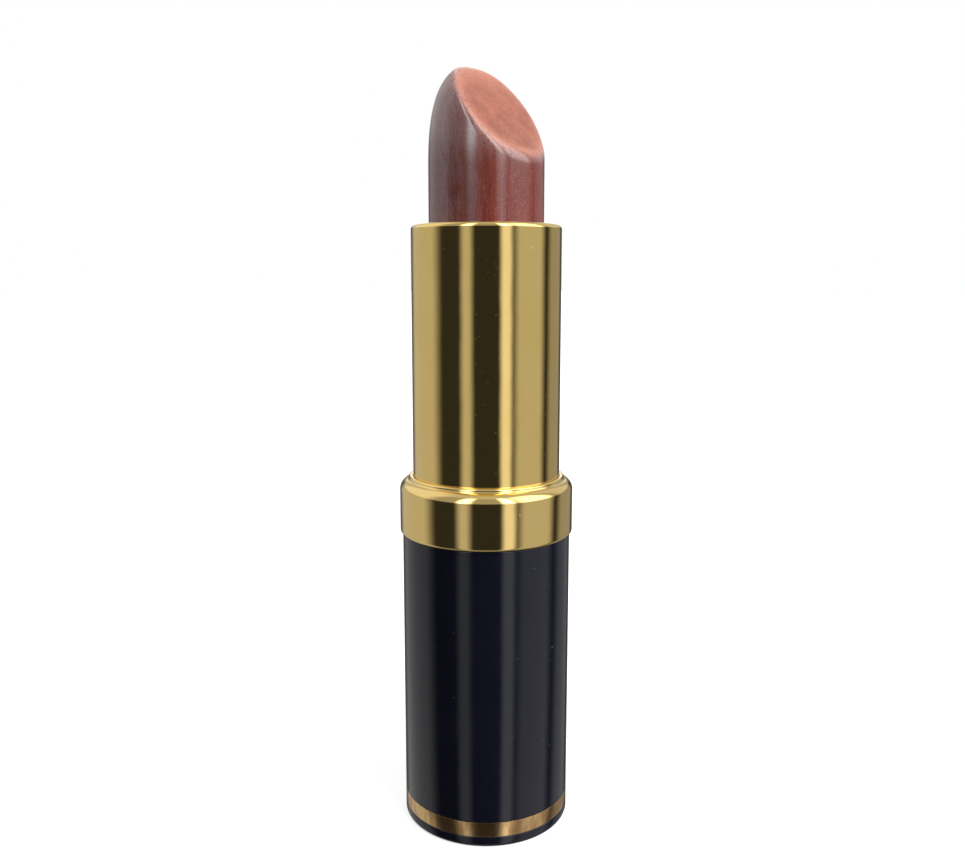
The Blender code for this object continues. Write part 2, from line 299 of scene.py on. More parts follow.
def make_collar():
    """Ring with a flat ledge, a small step, a rounded shoulder, a straight wall and a rolled lower edge."""
    high, low = top("collar"), bottom("collar") - COLLAR_DROP
    lip_bore = SLEEVE_R + 0.04
    bore = SPIGOT_R + 0.1
    lip_z = 39.1
    bead_r = 9.02
    shoulder = 1.25
    shoulder_z = 40.85 - shoulder
    roll = 0.4
    foot_z = low + roll
    return piece(
        "collar_ring",
        turned(
            arc(lip_bore + 0.03, high - 0.03, 0.03, 180, 90, 4),
            arc(bead_r - 0.24, high - 0.24, 0.24, 90, 0, 12),
            arc(bead_r + 0.09, 41.0, 0.09, 180, 262, 6),
            arc(COLLAR_R - shoulder, shoulder_z, shoulder, 74, 0, 24),
            arc(COLLAR_R - roll, foot_z, roll, 0, -80, 14),
            line((bore + 0.1, low)),
            line((bore, low + 0.1), (bore, lip_z), (lip_bore, lip_z)),
        ),
    )


def make_liner():
    """Cup pressed into the shell: a floor, and shallow crush ribs along its outer wall."""
    high, low = top("base_liner"), bottom("base_liner")
    bore = INNER_R + 0.1
    ribs = 12

    def crush(angle, radius, height):
        """Ribs: the wall sits 0.12 mm in, except near twelve lines up it."""
        outside = (radius > LINER_R - 0.05) & (height < high - 1.0) & (height > low + 1.0)
        return np.where(outside, -0.12 * np.clip(1.0 - 1.6 * np.cos(ribs * angle), 0.0, 1.0), 0.0)

    return piece(
        "liner",
        turned(
            line((0.0, low + 1.2), (bore - 0.3, low + 1.2)),
            arc(bore - 0.3, low + 1.5, 0.3, -90, 0, 4),
            line((bore, high - 0.3), (bore + 0.25, high)),
            arc(LINER_R - 0.15, high - 0.15, 0.15, 90, 0, 4),
            line((LINER_R, high - 0.9), (LINER_R, high - 1.1), (LINER_R, low + 1.1), (LINER_R, low + 0.9)),
            arc(LINER_R - 0.3, low + 0.3, 0.3, 0, -90, 5),
            line((0.0, low)),
            closed=False,
            ripple=crush,
        ),
    )


def make_weight():
    """Steel slug with chamfers and a shallow centre dimple from turning."""
    high, low = top("base_weight"), bottom("base_weight")
    ease = 0.3
    return piece(
        "weight",
        turned(
            line((0.0, high - 0.35), (0.6, high)),
            line((WEIGHT_R - ease, high), (WEIGHT_R, high - ease), (WEIGHT_R, low + ease)),
            line((WEIGHT_R - ease, low), (0.6, low), (0.0, low + 0.35)),
            closed=False,
        ),
    )


def make_inner_body():
    """Tube with a lip, a stop flange and two straight slots; rows give outer and inner radius and height."""
    high, low = top("inner_body"), bottom("inner_body")
    lug_z = bottom("carrier_cup") + LUG_RISE
    slot_low = lug_z + TRAVEL[0] / MM - LUG_R - 0.3
    slot_high = lug_z + TRAVEL[1] / MM + LUG_R + 0.3
    stop_low, stop_high = 32.6, 33.1
    rows = [(INNER_R - 0.1, low), (INNER_R, low + 0.1), (INNER_R, stop_low)]
    rows += [(STOP_R - 0.05, stop_low + 0.02), (STOP_R, stop_low + 0.07), (STOP_R, stop_high - 0.07)]
    rows += [(STOP_R - 0.05, stop_high - 0.02), (INNER_R, stop_high), (INNER_R, slot_low)]
    rows += [(INNER_R, z) for z in np.linspace(slot_low, slot_high, 12)[1:]]
    rows += [(INNER_R, high - 0.52), (CAM_R - 0.06, high - 0.5), (CAM_R, high - 0.44)]
    rows += [(CAM_R, high - 0.12), (CAM_R - 0.035, high - 0.035), (CAM_R - 0.12, high)]
    rows = np.array(rows)
    half = math.asin(SLOT_HALF / INNER_R)
    around = np.concatenate([np.linspace(-half, half, 9), np.linspace(half, math.pi - half, 80)[1:-1]])
    around = np.concatenate([around, around + math.pi])
    inner_z = rows[:, 1].copy()
    inner_z[-7:] = np.linspace(inner_z[-7], high, 7)
    inner_r = np.full(len(rows), INNER_BORE)
    inner_r[-1] += 0.12
    outer = round_points(rows[:, :1], around[None, :], rows[:, 1:])
    inner = round_points(inner_r[:, None], around[None, :], inner_z[:, None])
    middle_z = (rows[:-1, 1] + rows[1:, 1]) / 2.0
    middle_a = around + 0.5 * (np.append(around[1:], around[0] + TAU) - around)
    slot_rows = (middle_z > slot_low) & (middle_z < slot_high)
    opened = slot_rows[:, None] & (np.abs(np.sin(middle_a)) < math.sin(half))
    return piece("inner_tube", slotted_tube(outer, inner, opened))


def make_drag_ring():
    """Soft ring of round section."""
    middle = (bottom("drag_ring") + top("drag_ring")) / 2.0
    section = (top("drag_ring") - bottom("drag_ring")) / 2.0
    centre_r = half_width("drag_ring") - section
    return piece("soft_ring", turned(arc(centre_r, middle, section, 90, -270, 24)[:-1]))


# ---------------------------------------------------------------- the sleeve


def make_sleeve():
    """Gold sleeve: rolled-in rim, straight wall and the hidden flange at its foot."""
    high, low = top("upper_sleeve"), bottom("upper_sleeve")
    flange_top = low + SLEEVE_WALL
    roll = 0.5
    lip = 0.16
    return piece(
        "sleeve_tube",
        turned(
            arc(RIM_BORE + lip, high - lip, lip, 180, 90, 6),
            arc(SLEEVE_R - roll, high - roll, roll, 90, 0, 16),
            line((SLEEVE_R, flange_top + 0.25)),
            arc(SLEEVE_R + 0.2, flange_top + 0.2, 0.2, 180, 270, 5),
            line((FLANGE_R, flange_top), (FLANGE_R, low), (SLEEVE_BORE, low)),
            line((SLEEVE_BORE, high - SLEEVE_WALL), (RIM_BORE + 0.12, high - SLEEVE_WALL)),
            line((RIM_BORE, high - SLEEVE_WALL + 0.1)),
        ),
    )


def make_cam():
    """Cam tube: each column of its grid climbs with the slots, angle = column + turns of the lead up to
    that height, so the two helical slots are plain blocks of open cells."""
    high, low = top("cam_sleeve"), bottom("cam_sleeve")
    lug_z = bottom("carrier_cup") + LUG_RISE
    slot_low = lug_z + TRAVEL[0] / MM - LUG_R - 0.35
    slot_high = lug_z + TRAVEL[1] / MM + LUG_R + 0.35
    middle_r = (CAM_R + CAM_BORE) / 2.0
    pitch_angle = math.atan(LEAD / (TAU * middle_r))
    half = SLOT_HALF / math.sin(pitch_angle) / middle_r
    columns = np.concatenate([np.linspace(-half, half, 25), np.linspace(half, math.pi - half, 48)[1:-1]])
    columns = np.concatenate([columns, columns + math.pi])
    height = np.concatenate(
        [
            np.linspace(low, slot_low, 4)[:-1],
            np.linspace(slot_low, slot_high, 90),
            np.linspace(slot_high, high, 14)[1:],
        ]
    )[:, None]
    angle = columns[None, :] + TAU * (height - lug_z) / LEAD
    outer = round_points(np.full_like(height, CAM_R), angle, height)
    inner = round_points(np.full_like(height, CAM_BORE), angle, height)
    middle_z = (height[:-1, 0] + height[1:, 0]) / 2.0
    middle_c = columns + 0.5 * (np.append(columns[1:], columns[0] + TAU) - columns)
    in_slot = np.abs((middle_c + math.pi / 2.0) % math.pi - math.pi / 2.0) < half
    opened = ((middle_z > slot_low) & (middle_z < slot_high))[:, None] & in_slot[None, :]
    return piece("cam_tube", slotted_tube(outer, inner, opened))


# ---------------------------------------------------------------- the carrier


def make_cup():
    """Cup with a drain hole and a rounded lip, and a round lug with an eased end on each side."""
    high, low = top("carrier_cup"), bottom("carrier_cup")
    floor = low + 0.8
    hole = 1.5
    wall = CUP_R - CUP_BORE
    cup = turned(
        arc(CUP_BORE + wall / 2.0, high - wall / 2.0, wall / 2.0, 180, 0, 10),
        arc(CUP_R - 0.3, low + 0.3, 0.3, 0, -90, 6),
        line((hole, low), (hole, floor)),
        arc(CUP_BORE - 0.25, floor + 0.25, 0.25, -90, 0, 5),
    )
    root = (CUP_R + CUP_BORE) / 2.0
    lug = turned(
        line((0.0, LUG_REACH)),
        arc(LUG_R - 0.15, LUG_REACH - 0.15, 0.15, 90, 0, 5),
        line((LUG_R, root), (0.0, root)),
        sides=48,
        closed=False,
    )
    shift = (0.0, 0.0, low + LUG_RISE)
    plus = moved(lug, ((0, 0, 1), (0, 1, 0), (-1, 0, 0)), shift)
    minus = moved(lug, ((0, 0, -1), (0, 1, 0), (1, 0, 0)), shift)
    return piece("cup", cup, plus, minus)


def bullet_fields(points):
    """How far points are past the nose, a superellipse of height over radius, and past the slanted face, a
    plane with shallow waves from use whose lower end rolls over by a parabola. Both in mm."""
    down = np.array([math.cos(FACE_HEADING), math.sin(FACE_HEADING), 0.0])
    outward = down * math.sin(FACE_SLOPE) + np.array([0.0, 0.0, math.cos(FACE_SLOPE)])
    radius = np.hypot(points[..., 0], points[..., 1]) / BULLET_R
    rise = np.clip((points[..., 2] - NOSE_START) / NOSE_HEIGHT, 0.0, None)
    nose = BULLET_R * ((radius**NOSE_POWER + rise**NOSE_POWER) ** (1.0 / NOSE_POWER) - 1.0)
    across = points @ np.cross(outward, down)
    along = points @ down
    wear = 0.02 * np.sin(1.3 * along + 0.6 * across) + 0.012 * np.sin(2.9 * across - 1.1 * along)
    roll = FACE_ROLL * np.clip(along - FACE_ROLL_START, 0.0, None) ** 2
    face = points @ outward - FACE_MIDDLE * math.cos(FACE_SLOPE) + wear - roll
    return nose, face


def mark(obj, name, values):
    """Stores one number at each point of a piece."""
    obj.data.attributes.new(name, "FLOAT", "POINT").data.foreach_set("value", values.astype(np.float32))


def make_bullet():
    """Bullet: below, a straight stick. Above, rays from a point on the axis meet the nose and the slanted
    face, whose joining is rounded over FACE_EASE, found by halving the step along all rays at once. Each
    point is marked with cut, 1 on the slanted face, ridge, 1 along the face's edge, and bloom, the mask of
    painted sheen that fades down from it."""
    low = bottom("lipstick_bullet")
    centre = np.array([0.0, 0.0, NOSE_START - 1.0])
    steps = 200
    polar = np.linspace(0.0, math.pi / 2.0, steps)[:, None]
    angle = np.linspace(0.0, TAU, SIDES, endpoint=False)[None, :]
    ray = round_points(np.sin(polar), angle, np.cos(polar))
    inside_reach = np.zeros(ray.shape[:2])
    outside_reach = np.full(ray.shape[:2], 3.0 * NOSE_HEIGHT)
    for _ in range(40):
        middle = (inside_reach + outside_reach) / 2.0
        nose, face = bullet_fields(centre + ray * middle[..., None])
        near = np.clip(1.0 - np.abs(nose - face) / FACE_EASE, 0.0, 1.0)
        past = np.maximum(nose, face) + near**2 * FACE_EASE / 4.0 > 0.0
        outside_reach = np.where(past, middle, outside_reach)
        inside_reach = np.where(past, inside_reach, middle)
    upper = centre + ray * inside_reach[..., None]
    ease = 0.5
    stick = np.vstack(
        [
            [(BULLET_R, z) for z in np.linspace(centre[2], low + ease, 12)[1:-1]],
            arc(BULLET_R - ease, low + ease, ease, 0, -90, 6),
            line((0.0, low)),
        ]
    )
    lower = round_points(stick[:, :1], angle, stick[:, 1:])
    points = np.concatenate([upper, lower]).reshape(-1, 3)
    bullet = piece("bullet", (points, grid_faces(steps + len(stick), SIDES, False)), sharp=60.0)
    points = np.empty(3 * len(bullet.data.vertices))
    bullet.data.vertices.foreach_get("co", points)
    points = points.reshape(-1, 3) / MM
    nose, face = bullet_fields(points)
    gap = nose - face
    cut = np.clip(0.5 - gap / FACE_FEATHER, 0.0, 1.0)
    upper_edge = np.clip((points[:, 2] - RIDGE_LOW) / (RIDGE_HIGH - RIDGE_LOW), 0.0, 1.0)
    mark(bullet, "cut", cut**2 * (3.0 - 2.0 * cut))
    # ridge marks the face's edge, painted paler: partly worn wax, partly a painted highlight.
    mark(bullet, "ridge", upper_edge * np.exp(-((gap / np.where(gap > 0.0, RIDGE_OUT, RIDGE_IN)) ** 2)))
    # bloom marks where painted sheen goes, fading down from the face's edge.
    mark(bullet, "bloom", upper_edge * np.exp(-np.abs(gap) / PAINTED_EDGE_SHEEN_REACH) * (1.0 - cut))
    return bullet


# ---------------------------------------------------------------- node helpers


class Socket:
    """One output of a node. Arithmetic on it adds Math nodes to its tree."""

    def __init__(self, tree, socket):
        self.tree = tree
        self.socket = socket

    def output(self, name):
        """Another output of the same node."""
        return Socket(self.tree, self.socket.node.outputs[name])

    def math(self, operation, *values):
        return self.tree.node("ShaderNodeMath", {"operation": operation}, dict(enumerate(values)))

    def __add__(self, other):
        return self.math("ADD", self, other)

    def __sub__(self, other):
        return self.math("SUBTRACT", self, other)

    def __rsub__(self, other):
        return self.math("SUBTRACT", other, self)

    def __mul__(self, other):
        return self.math("MULTIPLY", self, other)

    def __lt__(self, other):
        return self.math("LESS_THAN", self, other)

    def __gt__(self, other):
        return self.math("GREATER_THAN", self, other)

    __radd__ = __add__
    __rmul__ = __mul__


class Tree:
    """The node tree of a material or of the world, filled in by the calls on it."""

    def __init__(self, owner):
        owner.use_nodes = True
        self.owner = owner
        self.nodes = owner.node_tree.nodes
        self.links = owner.node_tree.links
        self.nodes.clear()

    def node(self, kind, settings=None, values=None, output=0):
        """A node of a type: its settings are set first, then each socket takes its value or link."""
        node = self.nodes.new(kind)
        for name, setting in (settings or {}).items():
            if name == "stops":
                self.fill_ramp(node.color_ramp, setting)
            else:
                setattr(node, name, setting)
        for key, value in (values or {}).items():
            if isinstance(value, Socket):
                self.links.new(value.socket, node.inputs[key])
            else:
                node.inputs[key].default_value = value
        return Socket(self, node.outputs[output]) if len(node.outputs) else None

    @staticmethod
    def fill_ramp(ramp, stops):
        """Stops are (position, colour), from left to right."""
        while len(ramp.elements) < len(stops):
            ramp.elements.new(1.0)
        for element, (position, colour) in zip(ramp.elements, stops):
            element.position = position
            element.color = (*colour, 1.0)

    def mix(self, amount, first, second, how="MIX"):
        """Colour first, changed towards or by colour second as far as amount says."""
        first, second = (c if isinstance(c, Socket) else (*c, 1.0) for c in (first, second))
        settings = {"data_type": "RGBA", "blend_type": how, "clamp_factor": True}
        return self.node("ShaderNodeMix", settings, {0: amount, 6: first, 7: second}, output=2)

    def step(self, value, low, high):
        """0 at low and 1 at high, with a smooth step between. low may be the larger."""
        settings = {"interpolation_type": "SMOOTHSTEP"}
        values = {"Value": value, "From Min": low, "From Max": high}
        return self.node("ShaderNodeMapRange", settings, values)

    def place(self):
        """Object coordinates in mm."""
        metres = self.node("ShaderNodeTexCoord", output="Object")
        values = {"Vector": metres, "Scale": 1.0 / MM}
        return self.node("ShaderNodeVectorMath", {"operation": "SCALE"}, values)

    def grain(self, place, size, detail=2.0, drawn=(1.0, 1.0, 1.0)):
        """Cloudy noise from 0 to 1 in lumps about size mm across, drawn out along each axis."""
        scale = [1.0 / (size * axis) for axis in drawn]
        mapped = self.node("ShaderNodeMapping", None, {"Vector": place, "Scale": scale})
        values = {"Vector": mapped, "Scale": 1.0, "Detail": detail, "Roughness": 0.6}
        return self.node("ShaderNodeTexNoise", None, values)

    def along(self, place, axis):
        """One coordinate of a place: X, Y or Z."""
        return self.node("ShaderNodeSeparateXYZ", None, {"Vector": place}, output=axis)

    def distance(self, value, middle):
        """How far a value is from a middle one, either way."""
        off = value - middle
        return off.math("ABSOLUTE", off)

    def marked(self, name):
        """A number stored at the points of the piece."""
        return self.node("ShaderNodeAttribute", {"attribute_name": name}, output="Fac")

    def specks(self, place, spacing, radius, share=1.0):
        """Dots of up to radius mm, each in its own cell of spacing mm, in a share of the cells."""
        distance = self.node("ShaderNodeTexVoronoi", None, {"Vector": place, "Scale": 1.0 / spacing})
        chance = self.node("ShaderNodeSeparateColor", None, {"Color": distance.output("Color")})
        size = chance.output("Green") * radius
        return (distance * spacing < size) * (chance < share)

    def relief(self, height, depth):
        """Normal of a surface raised by depth mm where height is 1."""
        values = {"Height": height, "Distance": depth * MM}
        return self.node("ShaderNodeBump", None, values, output="Normal")

    def shade(self, **sockets):
        """Ends a material in a Principled shader and returns the material."""
        values = {}
        for name, value in sockets.items():
            label = name.replace("_", " ").title().replace("Ior", "IOR")
            values[label] = (*value, 1.0) if isinstance(value, tuple) and len(value) == 3 else value
        shader = self.node("ShaderNodeBsdfPrincipled", None, values)
        self.node("ShaderNodeOutputMaterial", None, {"Surface": shader})
        return self.owner


def finish_tree(name):
    """A new material's tree and its place in mm."""
    tree = Tree(bpy.data.materials.new(name))
    return tree, tree.place()


# ---------------------------------------------------------------- finishes


def polished_gold(name, tone, shadow_tone, haze):
    """Gold anodised metal, mirror polished: faint waves, hairlines up and down, smears and dust."""
    tree, place = finish_tree(name)
    smear = tree.step(tree.grain(place, 5.0, 4.0), 0.35, 0.7)
    hairline = tree.step(tree.grain(place, 0.07, 2.0, (1.0, 1.0, 90.0)), 0.63, 0.74)
    dust = tree.specks(place, 0.42, 0.05, 0.5) + tree.specks(place, 2.3, 0.11, 0.6)
    wave = tree.grain(place, 4.0, 1.0) + tree.grain(place, 0.5, 2.0) * 0.05
    colour = tree.mix(smear * 0.5, tone, shadow_tone)
    colour = tree.mix(dust * 0.3, colour, (0.6, 0.55, 0.44))
    return tree.shade(
        base_color=colour,
        metallic=1.0 - dust * 0.25,
        roughness=haze + smear * 0.035 + hairline * 0.05 + dust * 0.2,
        normal=tree.relief(wave + hairline * 0.01, 0.02),
    )


def band_metal():
    """Coppery gold band, turned: fine rings round it, and edges worn paler."""
    tree, place = finish_tree("turned_copper_gold")
    rings = tree.grain(place, 0.05, 2.0, (60.0, 60.0, 1.0))
    height = tree.along(place, "Z")
    middle = (top("base_band") + bottom("base_band")) / 2.0
    edge = tree.step(tree.distance(height, middle), 0.55, 0.75)
    worn = edge * tree.step(tree.grain(place, 0.8, 3.0), 0.4, 0.6)
    tarnish = tree.step(tree.grain(place, 1.5, 3.0, (1.0, 1.0, 3.0)), 0.38, 0.62)
    colour = tree.mix(tarnish * 0.8, (0.82, 0.55, 0.25), (0.5, 0.27, 0.12))
    colour = tree.mix(worn * 0.25, colour, (0.8, 0.56, 0.28))
    return tree.shade(
        base_color=colour,
        metallic=1.0,
        roughness=0.1 + rings * 0.08 + tarnish * 0.07,
        normal=tree.relief(rings, 0.003),
    )


def gloss_plastic():
    """Navy-black moulded plastic, high gloss: smears, hairline scratches, dust, and scuffs round its bottom
    edge.
    """
    tree, place = finish_tree("navy_gloss_plastic")
    smear = tree.step(tree.grain(place, 7.0, 5.0), 0.4, 0.72)
    scratch = tree.step(tree.grain(place, 0.06, 1.0, (1.0, 1.0, 60.0)), 0.68, 0.75)
    height = tree.along(place, "Z")
    low_end = tree.step(height, 1.0, 0.1)
    scuff = low_end * tree.step(tree.grain(place, 0.4, 4.0), 0.48, 0.6)
    dust = tree.specks(place, 0.9, 0.08) + tree.specks(place, 3.0, 0.14)
    colour = tree.mix(smear * 0.5, (0.0062, 0.0072, 0.0155), (0.0082, 0.0092, 0.0185))
    colour = tree.mix(scuff * 0.25, colour, (0.06, 0.06, 0.07))
    colour = tree.mix(dust * 0.35, colour, (0.2, 0.2, 0.21))
    return tree.shade(
        base_color=colour,
        roughness=0.07 + smear * 0.07 + scratch * 0.08 + scuff * 0.3 + dust * 0.3,
        normal=tree.relief(tree.grain(place, 3.0, 2.0) + scratch * 0.02, 0.012),
        ior=1.5,
    )


# Places on the bullet, in mm: the height of the face's middle, and across the stick a patch of painted sheen
# that fades in and out again, with a painted pale streak and a painted dark reflection streak beside it.
FACE_CENTRE_Z = 80.5
PAINTED_SHEEN_START = (-5.4, -4.6)
PAINTED_SHEEN_END = (-2.1, -2.8)
PAINTED_GLINT_X = -0.9
PAINTED_DARK_STREAK_X = -1.75


def pearl_wax():
    """Brown-red wax with fine pearl shimmer: soft sheen, mould streaks up the stick, and light and dark
    specks. The slanted face is painted lighter and warmer than the stick, as painted light where the key lamp
    falls, and paler towards its ends, a painted highlight. Its edge is paler, partly worn wax and partly a
    painted highlight, with painted sheen fading down from it. On the stick's left is a patch of painted
    sheen, with a painted pale streak in it and a painted dark reflection streak beside it."""
    tree, place = finish_tree("pearl_wax")
    cut = tree.marked("cut")
    cloud = tree.grain(place, 1.6, 4.0)
    streak = tree.grain(place, 0.3, 3.0, (1.0, 1.0, 16.0))
    crumb = tree.grain(place, 0.22, 3.0, (1.0, 1.0, 2.0))
    height = tree.along(place, "Z")
    # paler: the face painted paler towards its upper and lower ends, a painted highlight.
    paler = cut * tree.step(tree.distance(height, FACE_CENTRE_Z), 1.5, 6.0)
    ridge = tree.marked("ridge") * tree.step(tree.grain(place, 0.4, 4.0), 0.2, 0.55)
    # bloom: painted sheen, fading down the stick from the face's edge.
    bloom = tree.marked("bloom") * tree.step(tree.grain(place, 0.28, 5.0), 0.38, 0.58)
    pearl = tree.specks(place, 0.13, 0.07, 0.5)
    deep = tree.specks(place, 0.17, 0.08, 0.5)
    barrel = tree.mix(tree.step(cloud, 0.35, 0.7) * 0.6, (0.225, 0.04, 0.027), (0.16, 0.029, 0.023))
    barrel = tree.mix(tree.step(streak, 0.46, 0.7) * 0.6, barrel, (0.33, 0.078, 0.056))
    # Painted sheen below the face's edge, greyish pink.
    barrel = tree.mix(bloom * 0.65, barrel, (0.42, 0.26, 0.27))
    # Painted sheen on the stick's left: a lighter patch with a painted pale streak in it, and a painted dark
    # reflection streak beside it.
    across = tree.along(place, "X")
    painted_left_sheen = tree.step(across, *PAINTED_SHEEN_START) * tree.step(across, *PAINTED_SHEEN_END)
    painted_glint = tree.step(tree.distance(across, PAINTED_GLINT_X), 0.5, 0.15)
    painted_dark_streak = tree.step(tree.distance(across, PAINTED_DARK_STREAK_X), 0.6, 0.2)
    patchy = tree.step(tree.grain(place, 0.4, 5.0, (1.0, 1.0, 5.0)), 0.3, 0.65)
    painted_left_sheen = (painted_left_sheen + painted_glint * 0.7) * patchy
    barrel = tree.mix(painted_left_sheen * 0.5, barrel, (0.36, 0.2, 0.2))
    barrel = tree.mix(painted_dark_streak * 0.45, barrel, (0.08, 0.035, 0.045))
    # The slanted face is painted lighter and warmer than the stick, as painted light where the key lamp
    # falls, and paler still towards its ends, a painted highlight.
    face = tree.mix(tree.step(cloud, 0.3, 0.75), (0.43, 0.125, 0.062), (0.29, 0.07, 0.034))
    face = tree.mix(paler * 0.4, face, (0.64, 0.22, 0.13))
    colour = tree.mix(cut, barrel, face)
    colour = tree.mix(tree.step(crumb, 0.5, 0.75) * 0.35, colour, (0.12, 0.026, 0.022))
    # Paler along the face's edge: partly worn wax, partly a painted highlight.
    colour = tree.mix(ridge * 0.5, colour, (0.8, 0.44, 0.37))
    colour = tree.mix(pearl * 0.25, colour, (0.75, 0.42, 0.34))
    colour = tree.mix(deep * 0.3, colour, (0.13, 0.03, 0.024))
    relief = cloud * 0.5 + streak * 0.3 + crumb * 0.2
    return tree.shade(
        base_color=colour,
        metallic=pearl * 0.2,
        roughness=0.4 + cloud * 0.1 - pearl * 0.1,
        specular_ior_level=0.15,
        normal=tree.relief(relief, 0.045),
        coat_weight=0.95 - cut * 0.35 - ridge * 0.3,
        coat_roughness=0.15,
        coat_ior=1.9,
    )


def moulded_plastic():
    """Off-white moulded plastic: satin, faint flow marks and a trace of grease."""
    tree, place = finish_tree("white_moulded_plastic")
    flow = tree.grain(place, 2.4, 4.0, (1.0, 1.0, 3.0))
    grease = tree.step(tree.grain(place, 3.2, 3.0), 0.52, 0.66)
    colour = tree.mix(flow, (0.74, 0.73, 0.69), (0.66, 0.65, 0.61))
    colour = tree.mix(grease * 0.3, colour, (0.62, 0.58, 0.46))
    return tree.shade(
        base_color=colour,
        roughness=0.48 - grease * 0.24 + flow * 0.08,
        normal=tree.relief(tree.grain(place, 0.15, 2.0) + flow, 0.008),
    )


def turned_steel():
    """Bright steel with lathe rings and a few rust-brown freckles."""
    tree, place = finish_tree("turned_steel")
    rings = tree.grain(place, 0.06, 2.0, (40.0, 40.0, 1.0))
    freckle = tree.step(tree.grain(place, 0.5, 5.0), 0.68, 0.76)
    colour = tree.mix(rings, (0.6, 0.61, 0.63), (0.5, 0.51, 0.53))
    colour = tree.mix(freckle * 0.5, colour, (0.2, 0.11, 0.06))
    return tree.shade(
        base_color=colour,
        metallic=1.0 - freckle * 0.5,
        roughness=0.28 + rings * 0.12 + freckle * 0.3,
        normal=tree.relief(rings, 0.004),
    )


def soft_silicone():
    """Dark silicone: matt, dusty bloom and fine pores."""
    tree, place = finish_tree("dark_silicone")
    bloom = tree.grain(place, 0.9, 4.0)
    pore = tree.specks(place, 0.3, 0.08)
    return tree.shade(
        base_color=tree.mix(bloom * 0.6, (0.08, 0.08, 0.09), (0.15, 0.15, 0.16)),
        roughness=0.62 + bloom * 0.2,
        normal=tree.relief(bloom - pore * 0.4, 0.01),
    )


def label_film():
    """Blank satin film: paper-like grain, slightly greyed towards its rim."""
    tree, place = finish_tree("blank_label_film")
    fibre = tree.grain(place, 0.25, 4.0)
    flat = tree.node("ShaderNodeVectorMath", {"operation": "MULTIPLY"}, {0: place, 1: (1.0, 1.0, 0.0)})
    away = tree.node("ShaderNodeVectorMath", {"operation": "LENGTH"}, {0: flat}, output="Value")
    rim = tree.step(away, LABEL_R - 0.9, LABEL_R)
    colour = tree.mix(fibre * 0.5, (0.82, 0.81, 0.78), (0.74, 0.73, 0.7))
    colour = tree.mix(rim * 0.4, colour, (0.55, 0.54, 0.51))
    return tree.shade(base_color=colour, roughness=0.42 + fibre * 0.12, normal=tree.relief(fibre, 0.004))


# ---------------------------------------------------------------- the studio

# Neutral soft cards that the polish mirrors. Each is an azimuth in degrees, from the camera's side towards
# +X, a half width, a softness, and its brightness below CARD_FOOT and above CARD_FULL.
CARDS = {
    "key_strip": (-30.0, 8.0, 6.0, 0.5, 3.0),
    "fill_strip": (30.0, 8.0, 5.0, 0.9, 3.5),
    "right_box": (70.0, 25.0, 8.0, 0.5, 2.0),
    "left_box": (-115.0, 35.0, 12.0, 0.5, 0.5),
    "right_back_box": (130.0, 20.0, 8.0, 0.3, 0.3),
    "back_box": (180.0, 15.0, 10.0, 0.4, 1.0),
}
SURROUND_LOW = 0.03
SURROUND_HIGH = 0.4
CARD_FOOT = 6.0
CARD_FULL = 14.0
CEILING_HEIGHT = 62.0
CEILING_LIGHT = 0.6
UNDER_HEIGHT = -48.0
UNDER_LIGHT = 0.3
EDGE_SOFTNESS = 9.0
WHITE = (1.0, 1.0, 1.0, 1.0)
DOME_FOOT = -12.0
DOME_FULL = 4.0
DOME_LOW = (0.12, 0.11, 0.12)
DOME_HIGH = (0.95, 0.97, 1.0)
DOME_LIGHT = 0.4
FLOOR_R = 6000.0
FLOOR_GLOW = 0.72

# The camera, in mm and degrees.
LENS_LENGTH = 35.93
SENSOR_WIDTH = 36.0
CAMERA_PLACE = (-0.43, -110.4, 63.46)
CAMERA_TILT = 8.52


def make_world():
    """White for the camera, a plain dome for soft light, and neutral soft cards for what is mirrored."""
    world = bpy.data.worlds.new("studio")
    bpy.context.scene.world = world
    tree = Tree(world)
    way = tree.node("ShaderNodeTexCoord", output="Generated")
    east = tree.along(way, "X")
    azimuth = east.math("ARCTAN2", east, east.output("Y") * -1.0) * math.degrees(1.0)
    height = east.math("ARCSINE", east.output("Z")) * math.degrees(1.0)
    above = tree.step(height, CARD_FOOT, CARD_FULL)
    seen = above * (SURROUND_HIGH - SURROUND_LOW) + SURROUND_LOW
    for centre, half, softness, low, high in CARDS.values():
        off = (azimuth - centre).math("WRAP", azimuth - centre, 180.0, -180.0)
        inside = tree.step(off.math("ABSOLUTE", off), half + softness, half - softness)
        seen = seen + inside * (above * (high - low) + low)
    ceiling = tree.step(height, CEILING_HEIGHT - EDGE_SOFTNESS, CEILING_HEIGHT + EDGE_SOFTNESS)
    under = tree.step(height, UNDER_HEIGHT + EDGE_SOFTNESS, UNDER_HEIGHT - EDGE_SOFTNESS)
    seen = seen * (1.0 - ceiling) + ceiling * CEILING_LIGHT
    seen = seen * (1.0 - under) + under * UNDER_LIGHT
    mirrored = tree.node("ShaderNodeBackground", None, {"Color": WHITE, "Strength": seen})
    soft_light = tree.mix(tree.step(height, DOME_FOOT, DOME_FULL), DOME_LOW, DOME_HIGH)
    dome = tree.node("ShaderNodeBackground", None, {"Color": soft_light, "Strength": DOME_LIGHT})
    white = tree.node("ShaderNodeBackground", None, {"Color": WHITE, "Strength": 1.0})
    ray = tree.node("ShaderNodeLightPath", output="Is Camera Ray")
    soft = tree.node("ShaderNodeMixShader", None, {0: ray.output("Is Glossy Ray"), 1: dome, 2: mirrored})
    light = tree.node("ShaderNodeMixShader", None, {0: ray, 1: soft, 2: white})
    tree.node("ShaderNodeOutputWorld", None, {"Surface": light})


